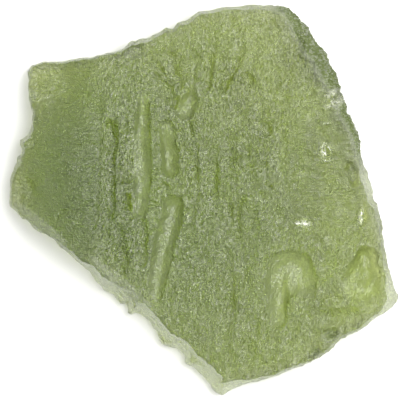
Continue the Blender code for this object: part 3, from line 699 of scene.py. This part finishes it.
def add_blank(sizes):
    """A slab with the shard's outline and sloping sides: a filled ring, drawn up three times."""
    steps, inward = rim_points(sizes)
    count = len(steps)
    bpy.ops.mesh.primitive_circle_add(vertices=count, radius=1.0, fill_type="NGON")
    shard = bpy.context.object
    shard.name = "etched_shard"
    move_to(shard, np.column_stack([steps[:, :2], np.zeros(count)]))
    bpy.ops.object.mode_set(mode="EDIT")
    bpy.ops.mesh.select_all(action="SELECT")
    for _ in range(3):
        bpy.ops.mesh.extrude_region_move(TRANSFORM_OT_translate={"value": (0, 0, sizes.thickness / 3)})
    bpy.ops.mesh.select_all(action="SELECT")
    bpy.ops.mesh.normals_make_consistent(inside=False)
    bpy.ops.object.mode_set(mode="OBJECT")
    places = places_of(shard)
    nearest, _ = nearest_steps(steps, places)
    ring = np.round(places[:, 2] / (sizes.thickness / 3)).astype(int)
    bevel, widest = steps[:, 2], steps[:, 3]
    # Low, wide edges flare out into a thin ledge
    flare = SHOULDER + LEDGE_FLARE * (1.0 - smooth_step(*LOW, widest))
    drawn_in = np.column_stack([np.full(count, UNDER_BEVEL), np.zeros(count), flare * bevel, bevel])
    raised = np.column_stack([np.zeros(count), widest, (1.0 + widest) / 2.0, np.ones(count)])
    places[:, :2] = steps[nearest, :2] + inward[nearest] * drawn_in[nearest, ring][:, None]
    places[:, 2] = sizes.thickness * raised[nearest, ring]
    move_to(shard, places)
    return shard, steps


def apply_modifier(obj, kind, **settings):
    bpy.ops.object.modifier_add(type=kind)
    modifier = obj.modifiers[-1]
    for name, value in settings.items():
        setattr(modifier, name, value)
    bpy.ops.object.modifier_apply(modifier=modifier.name)


def wander(x, y, size, reach, seed):
    """The same places moved a little to and fro, so that nothing drawn on them stays straight."""
    found = [noise.noise_vector(Vector((a / size, b / size, seed))) for a, b in zip(x, y)]
    found = reach * np.array(found)
    return x + found[:, 0], y + found[:, 1]


def groove_depth(x, y, grooves):
    """How deep the grooves are at each place."""
    for size, reach in WANDERING:
        x, y = wander(x, y, size, reach, 5.0)
    deepest = np.zeros(len(x))
    for name, path in grooves.items():
        lean = LEANS.get(name, 0.0)
        for (x0, y0, w0, d0), (x1, y1, w1, d1) in zip(path, path[1:]):
            along_x, along_y = x1 - x0, y1 - y0
            length_squared = along_x**2 + along_y**2
            share = np.clip(((x - x0) * along_x + (y - y0) * along_y) / length_squared, 0, 1)
            off_x, off_y = x - x0 - share * along_x, y - y0 - share * along_y
            off = np.maximum(np.hypot(off_x, off_y), 1e-6)
            middle = lean * off_x / off
            off = off / (w0 + (w1 - w0) * share)
            off = np.where(off > middle, (off - middle) / (1.0 - middle), (middle - off) / (1.0 + middle))
            bowl = np.clip(1.0 - off**2, 0.0, 1.0)
            profile = SHEER_SHARE * bowl**SHEER_POWER + (1.0 - SHEER_SHARE) * bowl**BOWL_POWER
            deepest = np.maximum(deepest, profile * (d0 + (d1 - d0) * share))
    return deepest


def scallops(x, y, width, length, seed):
    """0 at the middle of each etched cell and up to about 1 on the crests between cells."""
    found = [
        noise.voronoi(Vector((a, b, seed)), distance_metric="DISTANCE_SQUARED")[0][0]
        for a, b in zip(x / width, y / length)
    ]
    return np.minimum(np.array(found), 1.0)


def swells(x, y, seed):
    """Broad, shallow waves of the surface."""
    size, height = SWELLS
    found = [noise.noise(Vector((a / size, b / size, seed))) for a, b in zip(x, y)]
    return height * np.array(found)


def sculpted_face(x, y, sizes):
    """Height of the upper face."""
    height = sizes.thickness - FALL_TO_RIGHT * x - FALL_UPWARD * y + swells(x, y, 2.0)
    height -= DOME[1] * (x - DOME[0]) ** 2
    for middle_x, middle_y, across, along, rise in THICK_PLACES:
        height += rise * np.exp(-(((x - middle_x) / across) ** 2) - ((y - middle_y) / along) ** 2)
    streaked = smooth_step(*STREAKED_FROM, x) * (1.0 - smooth_step(*STREAKED_TO, x))
    streaked = np.maximum(streaked, 1.0 - smooth_step(*STREAKED_BELOW, y))
    patchy = 1.0 - PLAINNESS * (1.0 - smooth_step(*PLAIN_LEFT, x))
    for (width, length, depth), strength, seed in (
        (FLUTES, 0.15 + 0.85 * streaked, 4.0),
        (PATCHES, patchy, 6.0),
        (HOLLOWS, patchy, 9.0),
        (PITTING, 1.0, 15.0),
    ):
        height += depth * strength * (scallops(x, y, width, length, seed) - 0.5)
    return height - groove_depth(x, y, GROOVES)


def underside(x, y):
    """Height of the lower face, which is 0 on the flat spot."""
    off = np.hypot((x - FLAT_SPOT_CENTRE[0]) / FLAT_SPOT[0], (y - FLAT_SPOT_CENTRE[1]) / FLAT_SPOT[1])
    off *= 1.0 + swells(x, y, 11.0)
    away = smooth_step(1.0, 3.2, off)
    height = UNDERSIDE_RISE * away + np.abs(swells(x, y, 7.0)) * away
    width, length, depth = FLUTES
    clear = smooth_step(1.0, 1.35, off)
    height += 1.6 * depth * clear * (1.0 - scallops(x, y, 1.3 * width, length, 21.0))
    width, length, depth = PITTING
    height += depth * clear * scallops(x, y, width, length, 27.0)
    return height + clear * groove_depth(x, y, UNDERSIDE_GROOVES)


def flake_scars(places, normals, steps, sizes):
    """How far each point of the broken edges is worn in, as shell-like scars and a crumbly texture."""
    worn = np.zeros(len(places))
    steep = 1.0 - smooth_step(*STEEP, np.abs(normals[:, 2]))
    edge = np.flatnonzero(steep)
    rubble = steps[nearest_steps(steps, places[edge])[0], 5]
    for number, crumbs in zip(edge, rubble):
        point = Vector(places[number])
        scar = noise.voronoi(point / sizes.flake_size, distance_metric="DISTANCE_SQUARED")[0][0]
        grain = noise.voronoi(point / sizes.crumb_size, distance_metric="DISTANCE_SQUARED")[0][0]
        scar, grain = min(scar, 1.0) - WORN_LEVEL, min(grain, 1.0) - WORN_LEVEL
        worn[number] = sizes.flake_depth * scar + crumbs * grain
    return worn * steep


def carve(shard, steps, sizes):
    """Moves each point of the even slab onto the sculpted face, the underside or a broken edge."""
    places, normals = places_of(shard), places_of(shard, "normal")
    places += normals * flake_scars(places, normals, steps, sizes)[:, None]
    share = np.clip(places[:, 2] / sizes.thickness, 0.0, 1.0)
    x, y = places[:, 0], places[:, 1]
    low, high = underside(x, y), sculpted_face(x, y, sizes)
    places[:, 2] = low + (high - low) * share
    places[places[:, 2] < FLAT_WITHIN, 2] = 0.0
    move_to(shard, places)


def settle(shard):
    """Puts the origin under the middle of the shard."""
    places = places_of(shard)
    places[:, :2] -= (places[:, :2].min(axis=0) + places[:, :2].max(axis=0)) / 2.0
    move_to(shard, places)


def blurred(along_rim):
    """Values along the closed rim, each one the mean of those within about a millimetre of it."""
    return sum(np.roll(along_rim, shift) for shift in range(-5, 6)) / 11.0


def add_mark(shard, name, values):
    """Stores a number at each point for the material to read."""
    mark = shard.data.attributes.new(name, "FLOAT", "POINT")
    mark.data.foreach_set("value", values)


def spots(x, y, places):
    """How much each point lies within any of these oval places."""
    found = np.zeros(len(x))
    for middle_x, middle_y, half_length, half_width, turn, *strength in places:
        away_x, away_y = x - middle_x, y - middle_y
        along = away_x * math.cos(turn) + away_y * math.sin(turn)
        across = away_y * math.cos(turn) - away_x * math.sin(turn)
        off = np.hypot(along / half_length, across / half_width)
        found = np.maximum(found, (1.0 - smooth_step(0.6, 1.2, off)) * (strength or [1.0])[0])
    return found


def milky_bloom_and_highlight(x, y, normals, polished):
    """How thick the bloom of milkiness lies on the sculpted face, partly etched and partly a painted
    highlight on the faces that look towards the key light.
    """
    # Painted highlight: the more a face looks towards the key light, the milkier it is made
    facing = HIGHLIGHT_FACES[0] * normals[:, 0] + HIGHLIGHT_FACES[1] * normals[:, 1]
    milky_and_highlight = smooth_step(*HIGHLIGHT_SLOPES, facing)
    plain_left = 1.0 - smooth_step(*PLAIN_LEFT, x)
    milky_and_highlight = np.maximum(milky_and_highlight * (1.0 - LEFT_HIGHLIGHT_THINNING * plain_left), LEFT_BLOOM_AND_HIGHLIGHT * plain_left)
    for middle_x, middle_y, half_width, half_length, strength in MILKY_AND_HIGHLIGHT_PLACES:
        off = np.hypot((x - middle_x) / half_width, (y - middle_y) / half_length)
        milky_and_highlight = np.maximum(milky_and_highlight, strength * (1.0 - smooth_step(0.5, 1.3, off)))
    film = SMOOTH_BLOOM_AND_HIGHLIGHT - (SMOOTH_BLOOM_AND_HIGHLIGHT - CORNER_BLOOM_AND_HIGHLIGHT) * smooth_step(*CORNER, x)
    return (milky_and_highlight + (film - milky_and_highlight) * polished) * (normals[:, 2] > FACING_UP)


def level_ripples(x, y):
    """Where the ripples lie level: on the left end, along the short finger and towards the right."""
    left = 1.0 - smooth_step(*LEVEL_LEFT, x)
    begins, ends = LEVEL_STRIP
    strip = smooth_step(*begins, x) * (1.0 - smooth_step(*ends, x))
    side, bottom, top = LEVEL_RIGHT
    right = smooth_step(*side, x) * smooth_step(*bottom, y) * (1.0 - smooth_step(*top, y))
    return np.maximum(np.maximum(left, strip), right)


def mark_surface(shard, steps):
    """Marks where the surface is chipped, where it has white bruises, partly painted glints, where it is
    frosty, partly a painted glow, where it is crumbly and painted dark as painted shade, where it has a
    bloom, partly a painted highlight, where it is smooth, and where it is rippled level.
    """
    places, normals = places_of(shard), places_of(shard, "normal")
    x, y, z = places.T
    nearest, inside = nearest_steps(steps, places)
    inside = inside - steps[nearest, 2]
    crumbly = blurred(steps[:, 5] / steps[:, 5].max())[nearest]
    crumbled_edge = smooth_step(*CRUMBLY, crumbly)
    dark_edge = (1.0 - smooth_step(*DARK_REACH, inside)) * crumbled_edge
    above = z > ABOVE
    # The white bruises are partly painted glints of the fresh chips
    marks = {"fresh": spots(x, y, FRESH_CHIPS) * above, "bruised_and_glinting": spots(x, y, BRUISES_AND_GLINTS) * above}
    # Painted shade: the crumbly pits and the crumbly stretches of rim are darkened
    crumbled_and_shaded = np.maximum(spots(x, y, CRUMBLED_AND_SHADED_PLACES) * above, dark_edge)
    marks["crumbled_and_shaded"] = crumbled_and_shaded * (1.0 - marks["fresh"])
    # Thin ledges are frosty pale all over, a paleness that is partly a painted glow of light passing through
    # them, and the other broken edges a little
    steep = 1.0 - smooth_step(*FROST_AND_GLOW_STEEPNESS, np.abs(normals[:, 2]))
    steep *= 1.0 - smooth_step(*FROST_AND_GLOW_REACH, inside)
    ledge = (1.0 - smooth_step(*GLOWING_LEDGE_HEIGHT, steps[:, 3])) * smooth_step(*GLOWING_LEDGE_WIDTH, steps[:, 2])
    frost_and_glow = LEAST_FROST + (1.0 - LEAST_FROST) * blurred(ledge)[nearest]
    marks["frosted_and_glowing"] = steep * frost_and_glow * (1.0 - crumbled_edge)
    smooth_walls = groove_depth(x, y, {name: GROOVES[name] for name in POLISHED})
    marks["polished"] = smooth_step(*SMOOTH_DEPTHS, smooth_walls)
    marks["milky_and_highlight"] = milky_bloom_and_highlight(x, y, normals, marks["polished"])
    marks["level"] = level_ripples(x, y)
    for name, values in marks.items():
        add_mark(shard, name, values)


def add_node(tree, kind, inputs=None, **settings):
    """A node with its settings, and with its inputs set to values or linked from other nodes' outputs."""
    node = tree.nodes.new(kind)
    for name, value in settings.items():
        setattr(node, name, value)
    for name, value in (inputs or {}).items():
        if isinstance(value, bpy.types.NodeSocket):
            tree.links.new(value, node.inputs[name])
        else:
            node.inputs[name].default_value = value
    return node


def new_material(name):
    material = bpy.data.materials.new(name)
    material.use_nodes = True
    material.node_tree.nodes.clear()
    return material


def pattern_scale(*sizes_mm):
    """Mapping scale that makes one unit of a pattern as large as these sizes."""
    return [1.0 / (METRES_PER_MM * size) for size in sizes_mm]


# Sizes of the glass's patterns in millimetres, across, up and through the face
PATTERNS = {
    "upright ripples": (0.18, 0.42, 0.30),
    "level ripples": (0.46, 0.18, 0.30),
    "pits": (0.16, 0.20, 0.20),
    "grains": (0.26, 0.16, 0.30),
    "specks": (0.17, 0.26, 0.20),
}
RIPPLE_DEPTH = 0.16 * METRES_PER_MM
PIT_DEPTH = 0.08 * METRES_PER_MM
CHIP_ETCHING = 0.10  # how much of the etching shows in fresh chips
SMOOTH_ETCHING = 0.42  # and in the grooves with smooth walls
CHIP_ROUGHNESS = 0.12
# Partly a painted glint: how much light passes through the white of the bruises
BRUISE_AND_GLINT_CLEARNESS = 0.65
SHEEN = 0.40  # strength of the thin gloss on top
SMOOTH_SHEEN = 0.12  # and its strength in the grooves with smooth walls
SHEEN_ROUGHNESS = 0.14


def moldavite_glass(settings):
    """Natural tektite glass, etched by soil acids.

    It is clear and bottle green in depth, with a soft, finely pitted gloss and a milkiness that is partly
    etched bloom and partly a painted highlight on the faces towards the key light. Thin old breaks are frosty
    pale, the thin ledges partly as a painted glow; the steep break and its pits are crumbly and painted dark
    as painted shade; and fresh chips are smooth, glossy and white with bruises, the white partly a painted
    glint.
    """
    material = new_material("moldavite_glass")
    tree = material.node_tree
    place = add_node(tree, "ShaderNodeTexCoord").outputs["Object"]
    at = {
        name: add_node(
            tree, "ShaderNodeMapping", {"Vector": place, "Scale": pattern_scale(*sizes)}
        ).outputs["Vector"]
        for name, sizes in PATTERNS.items()
    }
    marks = {
        name: add_node(tree, "ShaderNodeAttribute", attribute_name=name).outputs["Fac"]
        for name in ("fresh", "bruised_and_glinting", "crumbled_and_shaded", "frosted_and_glowing", "milky_and_highlight", "polished", "level")
    }

    # Ripples of etching that stand upright over most of the face and lie level in a few places
    upright, level = [
        add_node(
            tree,
            "ShaderNodeTexNoise",
            {"Vector": at[name], "Scale": 1.0, "Detail": 2.0, "Roughness": 0.6},
        ).outputs["Fac"]
        for name in ("upright ripples", "level ripples")
    ]
    ripples = add_node(
        tree, "ShaderNodeMix", {"Factor": marks["level"], "A": upright, "B": level}, data_type="FLOAT"
    )
    # Pits a sixth of a millimetre wide between them
    pits = add_node(tree, "ShaderNodeTexVoronoi", {"Vector": at["pits"], "Scale": 1.0}, feature="F1")
    worn = add_node(
        tree, "ShaderNodeMapRange", {"Value": marks["polished"], "To Min": 1.0, "To Max": SMOOTH_ETCHING}
    )
    etched = add_node(
        tree,
        "ShaderNodeMapRange",
        {"Value": marks["fresh"], "To Min": worn.outputs["Result"], "To Max": CHIP_ETCHING},
    )
    pit_bump = add_node(
        tree,
        "ShaderNodeBump",
        {"Height": pits.outputs["Distance"], "Strength": etched.outputs["Result"], "Distance": PIT_DEPTH},
    )
    ripple_bump = add_node(
        tree,
        "ShaderNodeBump",
        {
            "Height": ripples.outputs["Result"],
            "Strength": etched.outputs["Result"],
            "Distance": RIPPLE_DEPTH,
            "Normal": pit_bump.outputs["Normal"],
        },
    )

    # Light and dark grains of the crumbly edge, whose darkness is painted shade
    grain = add_node(tree, "ShaderNodeTexNoise", {"Vector": at["grains"], "Scale": 1.0, "Detail": 2.0})
    crumbled_and_shaded = add_node(
        tree,
        "ShaderNodeMapRange",
        {"Value": grain.outputs["Fac"], "From Min": 0.72, "From Max": 0.52, "To Max": marks["crumbled_and_shaded"]},
    ).outputs["Result"]
    rubble = add_node(
        tree,
        "ShaderNodeMix",
        {
            "Factor": grain.outputs["Fac"],
            "A": linear(settings.crumbled_shade_colour),
            "B": linear(settings.crumbled_highlight),
        },
        data_type="RGBA",
    )
    # Painted glow in part: the thin ledges are made pale as if lit through from the far side; the rest of the
    # paleness is frosting
    pale = add_node(
        tree,
        "ShaderNodeMix",
        {
            "Factor": marks["frosted_and_glowing"],
            "A": linear(settings.glass_colour),
            "B": linear(settings.frosted_glow_colour),
        },
        data_type="RGBA",
    )
    colour = add_node(
        tree,
        "ShaderNodeMix",
        {"Factor": crumbled_and_shaded, "A": pale.outputs["Result"], "B": rubble.outputs["Result"]},
        data_type="RGBA",
    )

    # Gloss: soft where etched, softer on the frosty breaks and sharp in fresh chips
    old_gloss = add_node(
        tree,
        "ShaderNodeMapRange",
        {"Value": marks["frosted_and_glowing"], "To Min": settings.roughness, "To Max": settings.frosted_roughness},
    )
    gloss = add_node(
        tree,
        "ShaderNodeMix",
        {"Factor": marks["fresh"], "A": old_gloss.outputs["Result"], "B": CHIP_ROUGHNESS},
        data_type="FLOAT",
    )
    sheen = add_node(
        tree, "ShaderNodeMapRange", {"Value": marks["polished"], "To Min": SHEEN, "To Max": SMOOTH_SHEEN}
    )
    coat = add_node(
        tree,
        "ShaderNodeMapRange",
        {"Value": crumbled_and_shaded, "To Min": sheen.outputs["Result"], "To Max": 0.0},
    )

    # Share of the light that passes: less through the flecks of bloom and painted highlight, which follow the
    # ripples where they lie level, and least through the frosty breaks, partly a painted glow, the crumbly
    # breaks, painted dark as painted shade, and the bruises, partly painted glints
    specks = add_node(tree, "ShaderNodeTexNoise", {"Vector": at["specks"], "Scale": 1.0, "Detail": 1.0})
    flecks = add_node(
        tree,
        "ShaderNodeMix",
        {"Factor": marks["level"], "A": specks.outputs["Fac"], "B": level},
        data_type="FLOAT",
    )
    dots = add_node(
        tree,
        "ShaderNodeMapRange",
        {"Value": flecks.outputs["Result"], "From Min": 0.40, "From Max": 0.66, "To Max": marks["milky_and_highlight"]},
    )
    spread = add_node(
        tree,
        "ShaderNodeMix",
        {"Factor": marks["polished"], "A": dots.outputs["Result"], "B": marks["milky_and_highlight"]},
        data_type="FLOAT",
    )
    clear = add_node(
        tree,
        "ShaderNodeMapRange",
        {"Value": spread.outputs["Result"], "To Min": 1.0, "To Max": settings.milky_and_highlight_clearness},
    )
    # Painted glints in part: speckled white patches in the bruises let less light through, standing in for
    # the chips' bright glints
    sparkle = add_node(tree, "ShaderNodeTexNoise", {"Vector": at["pits"], "Scale": 1.0, "Detail": 0.0})
    bruise_and_glint = add_node(
        tree,
        "ShaderNodeMapRange",
        {"Value": sparkle.outputs["Fac"], "From Min": 0.35, "From Max": 0.60, "To Max": marks["bruised_and_glinting"]},
    )
    for mark, clearness in (
        (marks["frosted_and_glowing"], settings.frosted_glow_clearness),
        (crumbled_and_shaded, settings.crumbled_shade_clearness),
        (bruise_and_glint.outputs["Result"], BRUISE_AND_GLINT_CLEARNESS),
    ):
        clear = add_node(
            tree,
            "ShaderNodeMix",
            {"Factor": mark, "A": clear.outputs["Result"], "B": clearness},
            data_type="FLOAT",
        )
    surface = add_node(
        tree,
        "ShaderNodeBsdfPrincipled",
        {
            "Base Color": colour.outputs["Result"],
            "Roughness": gloss.outputs["Result"],
            "IOR": settings.ior,
            "Transmission Weight": clear.outputs["Result"],
            "Coat Weight": coat.outputs["Result"],
            "Coat Roughness": SHEEN_ROUGHNESS,
            "Coat IOR": settings.ior,
            "Coat Normal": ripple_bump.outputs["Normal"],
            "Normal": ripple_bump.outputs["Normal"],
        },
    )
    density = 1.2 * max(settings.absorbed)
    depth = add_node(
        tree,
        "ShaderNodeVolumeAbsorption",
        {"Color": [1.0 - taken / density for taken in settings.absorbed] + [1.0], "Density": density},
    )
    add_node(
        tree,
        "ShaderNodeOutputMaterial",
        {"Surface": surface.outputs["BSDF"], "Volume": depth.outputs["Volume"]},
    )
    return material


# The stage, in metres apart from the camera's sensor, which is in millimetres as its lens is
KEY_PLACE = (0.20, 0.09, 0.50)
KEY_SIZE = (0.24, 0.30)
FLOOR_GAP = 0.00003  # keeps the floor clear of the flat spot
CAMERA_X = -0.00032  # the photograph's middle lies this far along X from the shard's
SENSOR_WIDTH = 36.0


def white_card(colour):
    """Matt white card under the shard, which sends light back up through the glass."""
    material = new_material("white_card")
    tree = material.node_tree
    surface = add_node(
        tree,
        "ShaderNodeBsdfPrincipled",
        {"Base Color": linear(colour), "Roughness": 0.9, "Specular IOR Level": 0.2},
    )
    add_node(tree, "ShaderNodeOutputMaterial", {"Surface": surface.outputs["BSDF"]})
    return material


class MOLDAVITE_OT_shard(Operator):
    """Model the etched glass shard in place of its plain solid"""

    bl_idname = "moldavite.shard"
    bl_label = "Etched shard"
    bl_options = {"REGISTER", "UNDO"}

    def execute(self, context):
        sizes = context.scene.moldavite_shard
        start_afresh()
        noise.seed_set(NOISE_SEED)
        shard, steps = add_blank(sizes)
        apply_modifier(shard, "REMESH", mode="VOXEL", voxel_size=sizes.grid)
        carve(shard, steps, sizes)
        triangles = sum(len(face.vertices) - 2 for face in shard.data.polygons)
        apply_modifier(shard, "DECIMATE", ratio=min(1.0, sizes.most_triangles / triangles))
        mark_surface(shard, steps)
        settle(shard)
        bpy.ops.transform.resize(value=[METRES_PER_MM] * 3, center_override=(0, 0, 0))
        bpy.ops.object.transform_apply(location=True, rotation=True, scale=True)
        bpy.ops.object.shade_smooth()
        shard.data.materials.append(moldavite_glass(context.scene.moldavite_glass))
        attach(shard, "root")
        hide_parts("moldavite")
        return {"FINISHED"}


class MOLDAVITE_OT_stage(Operator):
    """Add the white floor, the soft lights and the camera above the shard"""

    bl_idname = "moldavite.stage"
    bl_label = "Stage"
    bl_options = {"REGISTER", "UNDO"}

    def execute(self, context):
        settings = context.scene.moldavite_stage
        start_afresh()
        bpy.ops.mesh.primitive_plane_add(size=3.0, location=(0, 0, -FLOOR_GAP))
        floor = context.object
        floor.name = "floor"
        floor.data.materials.append(white_card(settings.floor))

        key_place = Vector(KEY_PLACE)
        bpy.ops.object.light_add(type="AREA", location=key_place)
        key = context.object
        key.name = "key_softbox"
        key.rotation_euler = (-key_place).to_track_quat("-Z", "Y").to_euler()
        key.data.shape = "RECTANGLE"
        key.data.size, key.data.size_y = KEY_SIZE
        key.data.energy = settings.key_strength
        key.visible_camera = False

        world = bpy.data.worlds.new("even_light")
        world.use_nodes = True
        world.node_tree.nodes["Background"].inputs["Color"].default_value = (1.0, 1.0, 1.0, 1.0)
        world.node_tree.nodes["Background"].inputs["Strength"].default_value = settings.sky_strength
        context.scene.world = world

        top = CAD_BOX[1][2]
        bpy.ops.object.camera_add(location=(CAMERA_X, 0.0, settings.camera_height))
        camera = context.object
        camera.name = "camera_above"
        camera.rotation_euler = (0.0, 0.0, 0.0)
        camera.data.sensor_width = SENSOR_WIDTH
        camera.data.lens = SENSOR_WIDTH * (settings.camera_height - top) / settings.view_width
        context.scene.camera = camera
        context.scene.view_settings.view_transform = "Standard"
        context.scene.view_settings.look = "None"
        return {"FINISHED"}


class MOLDAVITE_PT_panel(Panel):
    """Lists the shard and its stage"""

    bl_idname = "MOLDAVITE_PT_panel"
    bl_label = "Moldavite shard"
    bl_space_type = "VIEW_3D"
    bl_region_type = "UI"
    bl_category = "Moldavite"

    def draw(self, context):
        scene = context.scene
        for operator, settings in (
            (MOLDAVITE_OT_shard, (scene.moldavite_shard, scene.moldavite_glass)),
            (MOLDAVITE_OT_stage, (scene.moldavite_stage,)),
        ):
            box = self.layout.box()
            box.operator(operator.bl_idname)
            for group in settings:
                for name in group.__annotations__:
                    box.prop(group, name)


GROUPS = {
    "moldavite_shard": ShardSettings,
    "moldavite_glass": GlassSettings,
    "moldavite_stage": StageSettings,
}
CLASSES = (*GROUPS.values(), MOLDAVITE_OT_shard, MOLDAVITE_OT_stage, MOLDAVITE_PT_panel)


def register():
    for cls in CLASSES:
        bpy.utils.register_class(cls)
    for name, group in GROUPS.items():
        setattr(bpy.types.Scene, name, PointerProperty(type=group))


def unregister():
    for name in GROUPS:
        delattr(bpy.types.Scene, name)
    for cls in reversed(CLASSES):
        bpy.utils.unregister_class(cls)


def main():
    register()
    bpy.ops.moldavite.shard()
    bpy.ops.moldavite.stage()


if __name__ == "__main__":
    main()
